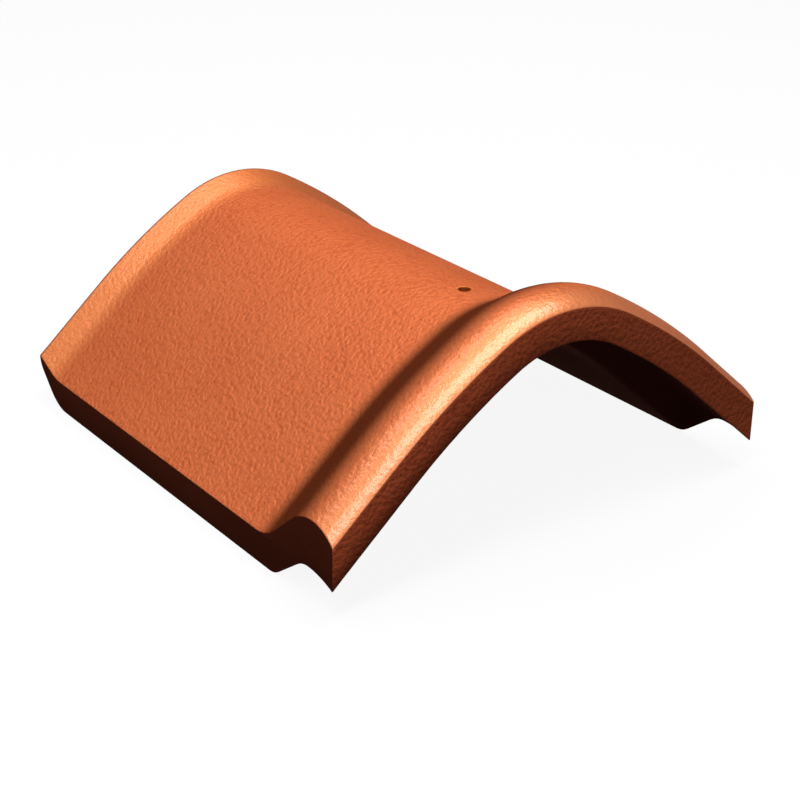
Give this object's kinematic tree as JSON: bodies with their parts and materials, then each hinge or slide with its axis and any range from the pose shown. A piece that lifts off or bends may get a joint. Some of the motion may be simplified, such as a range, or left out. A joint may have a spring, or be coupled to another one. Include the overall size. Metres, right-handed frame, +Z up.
{
  "type": "ridge tile",
  "caption": "Arched clay ridge tile with a rolled bead over a socket at one end, a flared lip at the other and a fixing hole through the crown; caps a roof ridge.",
  "frame": {"origin": "on the floor under the middle of the tile, midway between its two legs and its two ends", "axes": "+Y along the ridge from the bead's end towards the lip, +Z up, X across the legs"},
  "size_m": [0.25, 0.2763, 0.1164],
  "materials": {
    "fired_clay": "terracotta orange fired clay with a fine leather-like emboss and a dull semi-gloss surface"
  },
  "bodies": {
    "root": {"ridge_tile": "fired_clay"}
  },
  "joints": []
}
